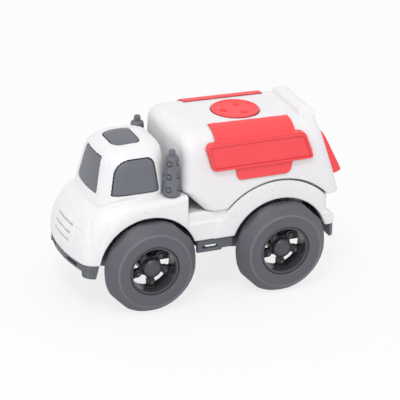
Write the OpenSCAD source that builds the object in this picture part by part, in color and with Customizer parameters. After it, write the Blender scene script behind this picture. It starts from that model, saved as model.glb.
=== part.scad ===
// Toy ambulance: a moulded body and box on a rolling chassis, held together by screws.
// Millimetres. +X is forward, +Y is the left side, +Z is up.
// The origin lies on the ground, midway between the axles.

/* [Wheels] */
// Distance between the two axles
wheelbase = 60; // [58:0.5:63]
// Width over the outer faces of the tyres
track_w = 60; // [58:0.5:64]
// Radius of the tyre at the crown of its tread
tyre_r = 21; // [20.6:0.1:21.4]
// Distance from the axle to the flats of the tread, which is the height of the axles
flat_r = 20; // [19.6:0.1:20.2]
// Width of a tyre
tyre_w = 13; // [11:0.5:14]
// Radius of the flat part of the tyre's side
sidewall_r = 16.2; // [13.5:0.1:16.5]
// Number of flats around the tread
tread_flats = 8; // [6:1:12]
// Outer radius of the rim, which fills the tyre
rim_r = 11; // [10:0.1:12]
// Depth of the rim's spokes behind the outer face of the tyre
rim_dish = 4; // [3:0.1:6]
// Number of spokes
spokes = 5; // [4:1:7]
// Diameter of the axles
axle_d = 3; // [2.4:0.1:3.6]

/* [Body] */
// Width over the fenders
body_w = 49.2; // [47:0.2:51]
// Reach of the nose in front of the front axle
nose_reach = 32.2; // [31:0.1:34]
// Reach of the tail wall behind the rear axle
tail_reach = 25.8; // [24.5:0.1:26.5]
// Wall thickness of the mouldings
wall = 1.8; // [1.4:0.1:2.2]
// Height of the nose's lower edge
nose_z = 23.6; // [22:0.1:25]
// Height of the top of the front fenders
fender_z = 50; // [49.5:0.1:51]
// Height of the bed under the box
bed_z = 41; // [40:0.1:42]
// Height of the lower edge of the sills between the wheels
sill_z = 28; // [27:0.1:30]
// Width over the sills
sill_w = 47.2; // [46:0.2:47.4]
// Radius of the wheel arches
arch_r = 22.6; // [22.3:0.1:23]
// Depth of the rear fenders above their arches
hump_depth = 7.9; // [7.4:0.1:8.4]

/* [Cab] */
// Height of the cab's roof
cab_z = 71.8; // [70:0.1:73]
// Width of the cab at its waist
cab_w = 40; // [38:0.2:41]
// Backward lean of the windscreen in degrees
screen_lean = 13.2; // [10:0.2:15]
// Distance from the front axle forward to the foot of the windscreen
screen_reach = 21; // [20:0.1:21.6]
// Distance from the front axle back to the rear of the cab
cab_back = 9.6; // [9.4:0.1:10]
// Height of the lower edge of the windows
window_z = 51.8; // [51.4:0.1:53]

/* [Box] */
// Width of the box
box_w = 48.4; // [46:0.2:50]
// Height of the box's roof at its front edge
box_z = 76.9; // [75:0.1:79]
// Radius of the long roof edges
roof_edge_r = 10.4; // [8:0.1:12]
// Distance from the front axle back to the front of the box
box_gap = 14.2; // [14:0.1:16]
// Reach of the box's lower rear edge behind the rear axle
box_reach = 28.6; // [28:0.1:30]
// Forward lean of the rear face in degrees
rear_lean = 16.7; // [14:0.2:18]
// Radius of the roof disc
disc_r = 10.4; // [9:0.1:11.5]
// Height by which the sign plates stand out from the box
plate_h = 1.3; // [0.9:0.1:2]

/* [Stacks] */
// Height of a stack above the fender
stack_h = 18; // [15:0.2:20]
// Radius of a stack at its foot
stack_r = 3.8; // [3.4:0.1:4]

/* [Fits] */
// Gap between mouldings that are pressed or laid together
fit = 0.1; // [0.08:0.01:0.16]
// Radial clearance of an axle in its bearings
running_fit = 0.08; // [0.05:0.01:0.1]
// End play between a wheel's hub and its bearing
hub_play = 0.5; // [0.4:0.05:0.8]
// Diameter of the self-tapping screws
screw_d = 2.6; // [2.2:0.1:2.8]

/* [Hidden] */
$fn = 64;

// Colours of the mouldings
white_c = [0.92, 0.91, 0.92];
red_c = [0.95, 0.3, 0.32];
grey_c = [0.38, 0.39, 0.42];
dark_c = [0.14, 0.14, 0.16];
steel_c = [0.75, 0.76, 0.78];

// A cut passes the face it opens by this much
over = 1;
// Largest distance between an arc and the chords that stand for it
chord = 0.025;
// Most of a plan's front edge that its bow may take
bow_share = 0.98;

// Axle places
front_x = wheelbase / 2;
rear_x = -wheelbase / 2;
axle_z = flat_r;

// Body places
nose_x = front_x + nose_reach;
tail_x = rear_x - tail_reach;
hump_x = rear_x + 1.5;
hump_r = arch_r + hump_depth;
hump_w = box_w - 0.4;
tail_z = 26.5;
ledge_x = tail_x - 0.5;
ledge_z = 30;
ledge_rise = 2.6;
ledge_r = 3.2;
ledge_w = hump_w - 0.8;
ledge_foot_x = ledge_x + 1.2 * ledge_r;
ledge_front_x = ledge_x + 4 * ledge_r;
tail_edge_r = 3;
bed_edge_r = 1;
nose_r = 23;
hood_z = nose_z + 26.9;
bow_r = 72;
bow_a = 14.6;
corner_r = 6.5;
fender_front_x = front_x + 22.8;
fender_r = 17;
fender_back_x = front_x - 16.8;
fender_edge_r = 1.6;
fender_edge_gain = 7;
fender_centre_x = fender_front_x - fender_r;
flank_rear_x = hump_x + hump_r - 12;
flank_front_x = fender_back_x + 4;
hood_lean = 4;
hood_edge_r = 8;
hood_lean_z = nose_z + 6;
hood_rear_x = front_x - 6;
hood_centre_z = hood_z - nose_r;
corner_gain = 1 / 6;
nose_step = 0.5;
grille_w = 17;
grille_z = nose_z + 6;
grille_pitch = 3.4;
groove_w = 0.9;
groove_depth = 0.8;
groove_reach = 8;
sill_step_z = 36;
sill_step = 0.8;
arch_front_x = front_x + 0.6;
arch_rear_x = rear_x + 0.4;
arch_z = axle_z - 0.2;

// Cab places
screen_x = front_x + screen_reach;
cab_back_x = front_x - cab_back;
cab_low_z = 44;
cab_lean = 8;
cab_crown = 0.9;
cab_edge_r = 8.5;
brow_r = 6.5;
cab_corner_r = 9.5;
cab_back_r = 7.5;
cab_roof_r = 3;
screen_bow_r = 60;
screen_bow_a = 9;
cab_eaves_z = cab_z - cab_crown;
crest_front_x = front_x + 6;
crest_rear_x = front_x - 5;
crest_w = 10;
crest_r = 4;
crest_bow_a = 4;
pane_inset = 0.25;
insert_wall = 1.2;
window_gap = 0.45;

// Side windows, windscreen and roof window
side_low_z = window_z + 0.2;
side_top_z = cab_z - 4.9;
side_front_x = front_x + 15.8;
side_brow_x = front_x + 13.1;
side_brow_drop = 0.6;
side_crest_x = front_x + 5.6;
side_back_x = front_x - 3.5;
side_rear_x = front_x - 5.7;
side_low_r = 0.5;
side_brow_r = 7;
side_crest_r = 6;
side_back_r = 3.4;
screen_low_z = window_z - 0.8;
screen_top_z = cab_z - 5.2;
screen_low_w = 22.6;
screen_top_w = 17.2;
screen_r = 0.9;
screen_cut_x = front_x + 11;
hatch_front_x = front_x + 11.2;
hatch_rear_x = front_x - 1.1;
hatch_w = 17.6;
hatch_r = 2.4;
hatch_front_r = 4.8;
hatch_cut_z = cab_z - 5;

// Box places
box_front_x = front_x - box_gap;
box_rear_x = rear_x - box_reach;
box_low_z = bed_z + fit;
box_edge_z = fender_z + 1.2;
hump_gap = 0.9;
box_brow_r = 6;
box_back_r = 4;
box_corner_r = 5;
box_bow_r = 150;
box_bow_a = 4;
roof_fall = 1.4;
box_top_x = box_rear_x + lean_at(box_z, box_low_z, rear_lean);
visor_x = rear_x - 11.3;
visor_w = 32;
visor_z = box_z + 2.2;
visor_lip = 1.8;
visor_slope = 2.6;
visor_foot = 6;
visor_back_x = box_top_x - 1.2;
visor_crest_x = box_top_x + 0.4;
visor_lip_r = 1;
visor_slope_r = 2;
visor_crest_r = 3.4;
visor_side_r = 6;
visor_bow = 0.3;
visor_bow_r = 200;
disc_x = rear_x + 12.5;
disc_seat_z = box_z - 2.3;
disc_top_z = box_z - 0.7;
disc_rim = 1;
disc_rim_h = 0.5;
disc_dots = 3;
disc_dot_d = 3;

// Panels: thickness of the red skin, of the lobe and the reach of its pegs
skin = 0.55;
lobe_h = 0.7;
peg_d = 3;
panel_front_x = front_x - 29.2;
panel_rear_x = rear_x - 6;
panel_top_y = box_w / 2 - roof_edge_r - 0.4;
plate_top_z = box_z - 4.6;
plate_low_z = plate_top_z - 12.6;
plate_shift = 4.7;
plate_front_x = front_x - 28.7;
plate_rear_x = rear_x - 14.3;
lobe_low_z = plate_low_z - 5.6;
lobe_front_x = front_x - 37.6;
lobe_rear_x = rear_x - 4.8;
plate_low_front_x = plate_front_x + 6 - plate_shift;
plate_top_front_x = plate_front_x + 5;
plate_r = 2.4;
plate_soft_r = 3;
lobe_in = 3;
lobe_taper = 1.5;
skin_lap = 3;
skin_low_z = plate_top_z - skin_lap;
plate_in = 5;
plate_in_y = panel_top_y + plate_in;
peg_seat = 0.3;
side_peg_in = 8;
side_peg_rise = 3;
rear_panel_w = 30;
rear_panel_drop = 12.3;
rear_panel_rise = 3.4;
rear_panel_top_z = box_z - rear_panel_drop;
rear_panel_low_z = box_low_z + rear_panel_rise;
rear_panel_h = 5.49;
rear_panel_t = 2.4;
rear_panel_taper = 2;
rear_panel_low_r = 3;
rear_panel_top_r = 4;
rear_panel_edge_r = 0.8;
rear_panel_foot_r = 1.6;
rear_peg_y = 9;
rear_peg_rise = 14;

// Stacks
stack_back = 10.6;
stack_in = 4.2;
stack_x = front_x - stack_back;
stack_y = body_w / 2 - stack_in;
stack_foot_z = fender_z;
stack_top_r = stack_r - 1;
stack_tip_r = 1.45;
stack_tip_h = 2.6;
stack_peg_d = 3.6;
stack_peg_l = 4;
stack_foot_r = 0.8;
stack_edge_r = 1.2;
stack_tip_edge_r = 0.9;
dimple_rows = 3;
dimple_first_z = 3.3;
dimple_pitch = 5.8;
dimple_a = [45:90:315];
dimple_r = 1.35;
dimple_core_r = 0.85;
dimple_depth = 0.6;

// Wheels
rim_l = 10;
rim_lip = 0.8;
rim_t = 1.2;
hollow_r = 13.6;
shoulder_drop = 2;
shoulder_w = 2.6;
crown_r = 2;
crown_in = 6;
tread_edge_drop = 0.8;
tread_edge_in = 4.4;
tread_edge_r = 2.4;
shoulder_r = 3.4;
sidewall_edge_r = 0.8;
bead_r = 0.6;
hollow_edge_r = 1;
hub_r = 4.2;
dome_r = 1.25 * hub_r;
dome_drop = 0.6 * hub_r;
bolt_at = 6.6;
boss_r = 1.8;
star_r = 6.1;
star_cut_r = 3.6;
star_cut_at = 8.2;
star_drop = 0.25;
star_t = 1.4;
bolt_r = 0.95;
boss_h = 0.6;
bolt_h = 1.4;
spoke_w = 2;
spoke_foot_w = 4;
spoke_t = 2;
spoke_drop = 1.2;
axle_in = 2.6;
axle_l = track_w - 2 * rim_dish - 2 * axle_in;

// Chassis
channel_w = 25;
channel_top_z = 27;
channel_low_z = 20.5;
channel_front_x = nose_x - 4.8;
channel_rear_x = tail_x + 4;
bearing_r = axle_d / 2 + 2.4;
bearing_out = 0.6;
bearing_l = 4;
housing_l = 28;
housing_z = 16.4;
rail_w = sill_w - 1.2;
rail_t = 2.2;
rail_low_z = 22;
rail_gap = 0.9;
rail_front_x = front_x - tyre_r - rail_gap;
rail_rear_x = rear_x + tyre_r + rail_gap;
rail_slot_l = 7;
rail_slot_h = 1.5;
rail_slot_rise = 1.6;
rail_slot_x = rail_rear_x + 6.8;
rail_step_l = 5;
rail_step_h = 0.8;
bar_w = 3;
bar_in = 1;
bumper_low_z = nose_z - 3.4;
bumper_t = 2.6;
bumper_inset = 0.35;
bumper_l = 9.2;
cheek_z = 17.6;
cheek_y = 18;
cheek_taper = 1.6;
slot_y = 6.5;
slot_w = 9;
slot_h = 1.3;
slot_rise = 0.9;
arm_y = 1.5;
arm_w = 4;
arm_rise = 0.4;
rear_bumper_h = 6;
seat_h = 3.4;

// Screws
post_y = 5.5;
post_wall = 1.7;
post_r = screw_d / 2 + post_wall;
seat_r = post_r + 0.4;
pilot_d = screw_d - 2 * fit;
head_d = 2 * screw_d;
head_h = 1.6;
screw_l = 9;
recess_l = 3.4;
recess_w = 0.7;
recess_h = 0.8;
front_post_gap = 0.4;
front_post_x = channel_front_x - wall - head_d / 2 - front_post_gap;
rear_post_x = rear_x - 15;
hump_foot_x = hump_x + sqrt(hump_r * hump_r - pow(bed_z - axle_z, 2));
box_post_x = (hump_foot_x + fender_back_x) / 2;
box_post_y = 12;
// Screw places: [x, y] of the chassis screws and of the box screws
chassis_screw_at = [for (x = [front_post_x, rear_post_x], y = [-1, 1] * post_y) [x, y]];
box_screw_at = [for (y = [-1, 1] * box_post_y) [box_post_x, y]];
// Peg places: [x, z] on the side panels, and [y, height above the box floor] on the rear panel
side_peg_at = [for (x = [panel_front_x - side_peg_in, panel_rear_x + side_peg_in])
    [x, plate_low_z + side_peg_rise]];
rear_peg_at = [for (y = [-1, 1] * rear_peg_y) [y, rear_peg_rise]];

// Outlines: a corner is [x, y, radius], corners run counterclockwise, and d sets all edges in
function unit(v) = v / norm(v);
function left_of(v) = [-v[1], v[0]];
function flat(c) = [c[0], c[1]];
function run(c, i) = unit(flat(c[(i + 1) % len(c)]) - flat(c[i % len(c)]));
function turn(u, v) = atan2(u[0] * v[1] - u[1] * v[0], u * v);
function steps(r, a) = max(1, ceil(abs(a) / (2 * acos(1 - min(0.5, chord / r)))));
function set_in(c, i, u, v, d) = flat(c[i]) + d * (left_of(u) + left_of(v)) / (1 + u * v);
function bend(p, u, a, r) =
    let (side = sign(a), centre = p - u * r * tan(abs(a) / 2) + left_of(u) * r * side, n = steps(r, a))
    [for (k = [0:n]) let (t = a * k / n) centre + r * side * [u[1] * cos(t) + u[0] * sin(t),
        u[1] * sin(t) - u[0] * cos(t)]];
function corner(c, i, d) =
    let (u = run(c, i + len(c) - 1), v = run(c, i), a = turn(u, v), p = set_in(c, i, u, v, d))
    let (r = a > 0 ? c[i][2] - d : c[i][2] + d)
    c[i][2] > 0 && r > 0.05 && abs(a) > 0.5 ? bend(p, u, a, r) : [p];
function outline(c, d = 0) = [for (i = [0:len(c) - 1]) each corner(c, i, d)];
function both_sides(c) =
    concat(c, [for (i = [len(c) - 1:-1:0]) if (c[i][0] > 0) [-c[i][0], c[i][1], c[i][2]]]);
function both_flanks(c) =
    concat([for (i = [len(c) - 1:-1:0]) if (c[i][1] > 0) [c[i][0], -c[i][1], c[i][2]]], c);
function backward(c) = [for (i = [len(c) - 1:-1:0]) [-c[i][0], c[i][1], c[i][2]]];

// Bowed plan: a front at x with rounded corners, running back to a rear with rounded corners.
// The bow's radius gives way where the plan is too narrow for it.
function bowed_plan(x, w, r, bow, a, rear, rear_r = 0) =
    let (room = w / 2 / cos(a) - r * tan(45 - a / 2), fair = min(bow, bow_share * room / tan(a)))
    let (tip = x + fair * (1 / cos(a) - 1), shoulder = tip - w / 2 * tan(a))
    both_flanks([[tip, 0, fair], [shoulder, w / 2, r], [rear, w / 2, rear_r]]);
// How far a face has drawn in at height z, under a rounded edge of radius r with its top at top
function drawn_in(z, top, r) = z > top - r ? r - sqrt(max(0, r * r - pow(z - top + r, 2))) : 0;
// Heights of the slices through a rounded edge, closer together towards its top
function edge_heights(top, r, n) = [for (k = [0:n]) top - r + r * sin(90 * k / n)];
function lean_at(z, z0, a) = (z - z0) * tan(a);
// Points of a plan at height z, and of a front view at x
function ring(c, z, d) = [for (p = outline(c, d)) [p[0], p[1], z]];
function rib(c, x, d) = [for (p = outline(c, d)) [x, p[0], p[1]]];

// A side view pulled across the object, a front view pulled along it and a plan pulled upwards
module pulled_across(w) rotate([90, 0, 0]) linear_extrude(w, center = true) children();
module across(c, w, d = 0) pulled_across(w - 2 * d) polygon(outline(c, d));
module along(c, x0, x1, d = 0)
    translate([x0, 0, 0]) rotate([90, 0, 90]) linear_extrude(x1 - x0) polygon(outline(c, d));
module upward(c, z0, z1, d = 0) translate([0, 0, z0]) linear_extrude(z1 - z0) polygon(outline(c, d));
module drawn_over(points) hull() polyhedron(points, [[for (i = [0:len(points) - 1]) i]]);
module rod_across(r, x, z, w) translate([x, 0, z]) rotate([90, 0, 0]) cylinder(r = r, h = w, center = true);
module mirror_pair() {
    children();
    mirror([0, 1, 0]) children();
}

// Cab solid, set in by d, with its floor at low
function cab_plan(z) = bowed_plan(
    screen_x - lean_at(z, window_z, screen_lean) - drawn_in(z, cab_eaves_z, brow_r),
    cab_w - 2 * lean_at(z, window_z, cab_lean) - 2 * drawn_in(z, cab_eaves_z, cab_edge_r),
    cab_corner_r, screen_bow_r, screen_bow_a, cab_back_x + drawn_in(z, cab_eaves_z, cab_roof_r), cab_back_r);
module cab_solid(d = 0, low = cab_low_z) {
    heights = concat([low], edge_heights(cab_eaves_z, cab_edge_r, 6));
    crest = bowed_plan(crest_front_x, crest_w, crest_r, screen_bow_r, crest_bow_a, crest_rear_x, crest_r);
    drawn_over(concat([for (z = heights) each ring(cab_plan(z), z - d, d)], ring(crest, cab_z - d, d)));
}

// Nose and hood, set in by d, with the floor at low
function nose_w(z) = body_w - 2 * nose_step - 2 * max(0, lean_at(z, hood_lean_z, hood_lean))
    - 2 * drawn_in(z, hood_z, hood_edge_r);
function nose_plan(z) = bowed_plan(nose_x - drawn_in(z, hood_z, nose_r), nose_w(z),
    corner_r + corner_gain * max(0, z - hood_centre_z), bow_r, bow_a, hood_rear_x);
module nose_solid(d = 0, low = nose_z) {
    heights = concat([low, hood_centre_z], [for (a = [14:14:84]) hood_centre_z + nose_r * sin(a)]);
    drawn_over([for (z = heights) each ring(nose_plan(z), z - d, d)]);
}

// Pair of front fenders, set in by d, reaching down to low
module fender_solid(d = 0, low = 0) {
    arc = fender_r - d;
    stations = concat([fender_back_x + d], [for (a = [0:15:90]) fender_centre_x + arc * sin(a)]);
    drawn_over([for (x = stations) let (
        top = fender_z - arc + sqrt(max(0, arc * arc - pow(max(0, x - fender_centre_x), 2))),
        edge = fender_edge_r + fender_edge_gain * (x - fender_back_x) / (fender_front_x - fender_back_x))
        each rib(both_sides([[body_w / 2, low, 0], [body_w / 2, top, edge]]), x, d)]);
}

// Sills and tail, set in by d, reaching down to low
module flank_solid(d = 0, low = 0) {
    along(both_sides([[sill_w / 2, low, 0], [sill_w / 2, sill_step_z, 0],
        [sill_w / 2 - sill_step, sill_step_z + sill_step, 0], [sill_w / 2 - sill_step, bed_z, bed_edge_r]]),
        flank_rear_x, flank_front_x, d);
    intersection() {
        upward(backward(bowed_plan(-tail_x, hump_w, corner_r, bow_r, bow_a, -hump_x - hump_r)),
            low, bed_z + hump_r, d);
        pulled_across(track_w) {
            translate([hump_x, axle_z]) circle(r = hump_r - d, $fn = 128);
            polygon(outline([[tail_x, low, 0], [hump_x, low, 0], [hump_x, bed_z, 0],
                [tail_x, bed_z, tail_edge_r]], d));
        }
    }
}

// Ledge across the foot of the tail, flaring out of it
function ledge_plan() = both_flanks([[ledge_front_x, ledge_w / 2, 0], [ledge_x, ledge_w / 2, ledge_r]]);
module tail_ledge() intersection() {
    upward(ledge_plan(), tail_z - over, ledge_z + hump_r);
    across([[ledge_x - over, tail_z - 2 * over, 0], [ledge_front_x, tail_z - 2 * over, 0],
        [ledge_front_x, ledge_z + ledge_rise, 0], [ledge_foot_x, ledge_z + ledge_rise, 0],
        [ledge_x - over, ledge_z - over * ledge_rise / ledge_r, 0]], track_w);
}

// Everything above the lower edges of the nose, the sills and the tail
module above_edges() across([[ledge_x - over, tail_z, 0], [arch_rear_x, tail_z, 0], [arch_rear_x, sill_z, 0],
    [arch_front_x, sill_z, 0], [arch_front_x, nose_z, 0], [nose_x + over, nose_z, 0],
    [nose_x + over, cab_z + over, 0], [ledge_x - over, cab_z + over, 0]], track_w);

// Window openings, widened by g
function side_window() = [[side_rear_x, side_low_z, side_low_r], [side_front_x, side_low_z, side_low_r],
    [side_brow_x, side_top_z - side_brow_drop, side_brow_r], [side_crest_x, side_top_z, side_crest_r],
    [side_back_x, side_top_z, side_back_r]];
function screen_window() =
    both_sides([[screen_low_w / 2, screen_low_z, screen_r], [screen_top_w / 2, screen_top_z, screen_r]]);
function roof_window() =
    both_flanks([[hatch_front_x, hatch_w / 2, hatch_front_r], [hatch_rear_x, hatch_w / 2, hatch_r]]);
module window_cuts(g = 0) {
    across(side_window(), body_w, g);
    along(screen_window(), screen_cut_x, nose_x, g);
    upward(roof_window(), hatch_cut_z, cab_z + over, g);
}

module grille_grooves() difference() {
    for (k = [0:2]) translate([nose_x - groove_reach, -grille_w / 2, grille_z + grille_pitch * k])
        cube([groove_reach + over, grille_w, groove_w]);
    nose_solid(groove_depth);
}

// Height of the outside of the hood and of the rear fenders at x, and of the screw post there
function hood_at(x) = hood_centre_z + sqrt(nose_r * nose_r - pow(max(0, x - nose_x + nose_r), 2));
function hump_at(x) = axle_z + sqrt(hump_r * hump_r - pow(x - hump_x, 2));
function post_top(x) = (x > 0 ? hood_at(x + post_r) : hump_at(x - post_r)) - wall / 2;

module body_shell() color(white_c) difference() {
    intersection() {
        union() {
            difference() {
                union() {
                    cab_solid();
                    nose_solid(0, 0);
                    fender_solid();
                    flank_solid();
                    tail_ledge();
                }
                cab_solid(wall, cab_low_z - 4 * wall);
                nose_solid(wall, -3 * wall);
                fender_solid(wall, -4 * wall);
                flank_solid(wall, -5 * wall);
                rod_across(arch_r, arch_front_x, arch_z, track_w);
                rod_across(arch_r, arch_rear_x, arch_z, track_w);
            }
            for (p = chassis_screw_at) translate([p[0], p[1], channel_top_z])
                cylinder(r = post_r, h = post_top(p[0]) - channel_top_z);
        }
        above_edges();
    }
    window_cuts();
    grille_grooves();
    for (p = chassis_screw_at)
        translate([p[0], p[1], channel_top_z - over]) cylinder(d = pilot_d, h = screw_l + over);
    for (p = box_screw_at)
        translate([p[0], p[1], bed_z - wall - over]) cylinder(d = screw_d + 2 * fit, h = wall + 2 * over);
    mirror_pair() translate([stack_x, stack_y, stack_foot_z - stack_peg_l - fit])
        cylinder(d = stack_peg_d + 2 * fit, h = stack_peg_l + fit + over);
}

module cab_insert() color(grey_c) difference() {
    intersection() {
        union() {
            cab_solid(wall + fit, cab_low_z);
            intersection() {
                cab_solid(pane_inset);
                window_cuts(window_gap);
            }
        }
        translate([cab_back_x, -body_w / 2, fender_z + fit]) cube([nose_x, body_w, cab_z]);
    }
    cab_solid(wall + fit + insert_wall, cab_low_z - 4 * wall);
}

// Box solid, set in by d, with its floor at low
function box_plan(z) = bowed_plan(
    box_front_x - max(0, box_edge_z - z) - drawn_in(z, box_z, box_brow_r),
    box_w - 2 * drawn_in(z, box_z, roof_edge_r), box_corner_r, box_bow_r, box_bow_a,
    box_rear_x + lean_at(z, box_low_z, rear_lean) + drawn_in(z, box_z, box_back_r), corner_r);
function fallen(p) =
    [p[0], p[1], p[2] - (p[2] > box_edge_z ? roof_fall : 0) * (box_front_x - p[0]) / wheelbase];
module box_solid(d = 0, low = box_low_z) {
    heights = concat([low, box_edge_z], edge_heights(box_z, roof_edge_r, 7));
    drawn_over([for (z = heights) for (p = ring(box_plan(z), z - d, d)) fallen(p)]);
}

// Raised lip across the rear end of the roof
module visor() intersection() {
    across([[visor_back_x, box_z - visor_foot, 0], [visor_x, box_z - visor_foot, 0],
        [visor_x, visor_z - visor_lip, visor_lip_r], [visor_x - visor_slope, visor_z, visor_slope_r],
        [visor_crest_x, visor_z, visor_crest_r]], visor_w);
    along(both_sides([[visor_w / 2, box_z - visor_foot - over, 0], [visor_w / 2, visor_z, visor_side_r],
        [0, visor_z + visor_bow, visor_bow_r]]), visor_back_x - over, visor_x + over);
}

module in_rear_frame() translate([box_rear_x, 0, box_low_z]) rotate([0, rear_lean, 0]) children();

module box_pegs(d, inner) {
    mirror_pair() for (p = side_peg_at)
        translate([p[0], box_w / 2 + over, p[1]]) rotate([90, 0, 0]) cylinder(d = d, h = over + wall + inner);
    in_rear_frame() for (p = rear_peg_at)
        translate([-over, p[0], p[1]]) rotate([0, 90, 0]) cylinder(d = d, h = over + wall + inner);
    translate([disc_x, 0, disc_seat_z - wall - inner]) cylinder(d = 2 * d, h = wall + inner + over);
}

module box_shell() color(white_c) difference() {
    union() {
        difference() {
            union() {
                box_solid();
                visor();
            }
            box_solid(wall, box_low_z - 3 * wall);
        }
        intersection() {
            box_solid();
            for (p = box_screw_at)
                translate([p[0], p[1], box_low_z]) cylinder(r = post_r, h = box_z);
        }
        intersection() {
            box_solid();
            translate([disc_x, 0, disc_seat_z - wall]) cylinder(r = disc_r + wall, h = box_z);
        }
    }
    rod_across(hump_r + hump_gap, hump_x, axle_z, track_w);
    translate([disc_x, 0, disc_seat_z]) cylinder(r = disc_r + fit, h = box_z);
    box_pegs(peg_d + 2 * fit, over);
    for (p = box_screw_at)
        translate([p[0], p[1], box_low_z - over]) cylinder(d = pilot_d, h = screw_l + over);
}

// Red side panel: a skin over the roof edge, a raised sign plate and a lobe below it
module side_panel() color(red_c) {
    plate = [[plate_rear_x, plate_low_z, plate_r], [plate_low_front_x, plate_low_z, plate_soft_r],
        [plate_top_front_x, plate_top_z, plate_r], [plate_rear_x + plate_shift, plate_top_z, plate_soft_r]];
    lobe = [[lobe_rear_x + lobe_taper, lobe_low_z, plate_soft_r],
        [lobe_front_x - lobe_taper, lobe_low_z, plate_r],
        [lobe_front_x, plate_low_z + lobe_in, 0], [lobe_rear_x, plate_low_z + lobe_in, 0]];
    difference() {
        union() {
            intersection() {
                box_solid(-skin);
                translate([panel_rear_x, panel_top_y, skin_low_z])
                    cube([panel_front_x - panel_rear_x, box_w, box_z]);
            }
            intersection() {
                union() {
                    across(plate, box_w + 2 * plate_h);
                    across(lobe, box_w + 2 * lobe_h);
                }
                translate([box_rear_x, plate_in_y, 0]) cube([wheelbase * 2, box_w, box_z]);
            }
        }
        box_solid(-fit);
    }
    for (p = side_peg_at)
        translate([p[0], box_w / 2 + fit + peg_seat, p[1]]) rotate([90, 0, 0])
            cylinder(d = peg_d, h = wall + over);
}

module side_panel_left() side_panel();
module side_panel_right() mirror([0, 1, 0]) side_panel();

// Red rear panel: a wedge-shaped plate in the frame of the rear face, thicker towards its lower edge
module rear_panel() color(red_c) {
    top = (rear_panel_top_z - box_low_z) / cos(rear_lean);
    low = (rear_panel_low_z - box_low_z) / cos(rear_lean);
    difference() {
        in_rear_frame() intersection() {
            along(both_sides([[rear_panel_w / 2, low, rear_panel_low_r],
                [rear_panel_w / 2 - rear_panel_taper, top, rear_panel_top_r]]), -2 * rear_panel_h, wall);
            across([[-rear_panel_h, low, rear_panel_foot_r], [wall, low, 0], [wall, top, 0],
                [-rear_panel_t, top, rear_panel_edge_r]], box_w);
        }
        box_solid(-fit);
    }
    in_rear_frame() for (p = rear_peg_at)
        translate([-over, p[0], p[1]]) rotate([0, 90, 0]) cylinder(d = peg_d, h = over + wall + over);
}

module roof_disc() color(red_c) translate([disc_x, 0, 0]) difference() {
    union() {
        translate([0, 0, disc_seat_z + fit]) cylinder(r = disc_r, h = disc_top_z - disc_seat_z - fit);
        translate([0, 0, disc_top_z]) difference() {
            cylinder(r = disc_r, h = disc_rim_h);
            translate([0, 0, -over]) cylinder(r = disc_r - disc_rim, h = disc_rim_h + 2 * over);
        }
        translate([0, 0, disc_seat_z - wall]) cylinder(d = 2 * peg_d, h = wall + over);
    }
    for (k = [0:disc_dots - 1]) rotate(360 * k / disc_dots)
        translate([disc_r / 2, 0, disc_top_z]) sphere(d = disc_dot_d);
}

// Stack on the left: a tapered post with a small tip, a peg below it and rows of ring-shaped dimples
function stack_r_at(z) = stack_r - (stack_r - stack_top_r) * z / stack_h;
module stack() color(grey_c) translate([stack_x, stack_y, stack_foot_z + fit]) difference() {
    union() {
        rotate_extrude() polygon(outline([[0, 0, 0], [stack_r, 0, stack_foot_r],
            [stack_top_r, stack_h, stack_edge_r], [0, stack_h, 0]]));
        translate([0, 0, stack_h - over]) rotate_extrude()
            polygon(outline([[0, 0, 0], [stack_tip_r, 0, 0],
                [stack_tip_r, stack_tip_h + over, stack_tip_edge_r], [0, stack_tip_h + over, 0]]));
        translate([0, 0, -stack_peg_l]) cylinder(d = stack_peg_d, h = stack_peg_l + over);
    }
    for (k = [0:dimple_rows - 1], a = dimple_a) let (z = dimple_first_z + dimple_pitch * k)
        translate([0, 0, z]) rotate([0, 90, a]) translate([0, 0, stack_r_at(z) - dimple_depth]) dimple();
}

module dimple() difference() {
    cylinder(r = dimple_r, h = dimple_depth + over);
    cylinder(r = dimple_core_r, h = dimple_depth + over);
}

module stack_left() stack();
module stack_right() mirror([0, 1, 0]) stack();

// Deep channel that carries the axles, open below and deeper where they pass
module channel() {
    length = channel_front_x - channel_rear_x;
    height = channel_top_z - fit - channel_low_z;
    difference() {
        union() {
            translate([channel_rear_x, -channel_w / 2, channel_low_z]) cube([length, channel_w, height]);
            for (x = [front_x, rear_x]) translate([x - housing_l / 2, -channel_w / 2, housing_z])
                cube([housing_l, channel_w, channel_top_z - fit - housing_z]);
        }
        translate([channel_rear_x + wall, wall - channel_w / 2, housing_z - over])
            cube([length - 2 * wall, channel_w - 2 * wall, channel_top_z - wall - housing_z + over]);
    }
    for (x = [front_x, rear_x]) mirror_pair()
        translate([x, channel_w / 2 + bearing_out, axle_z]) rotate([90, 0, 0])
            cylinder(r = bearing_r, h = bearing_l);
    for (p = chassis_screw_at)
        translate([p[0], p[1], channel_top_z - seat_h]) cylinder(r = seat_r, h = seat_h - fit);
}

// Band round the nose, between two heights, open at the back
function bumper_plan(rear) = bowed_plan(nose_x, body_w, corner_r, bow_r, bow_a, rear);
module bumper_band(z0, z1) difference() {
    upward(bumper_plan(front_x), z0, z1, bumper_inset);
    upward(bumper_plan(front_x - 2 * bumper_t), z0 - over, z1 + over, bumper_inset + bumper_t);
}

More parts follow.
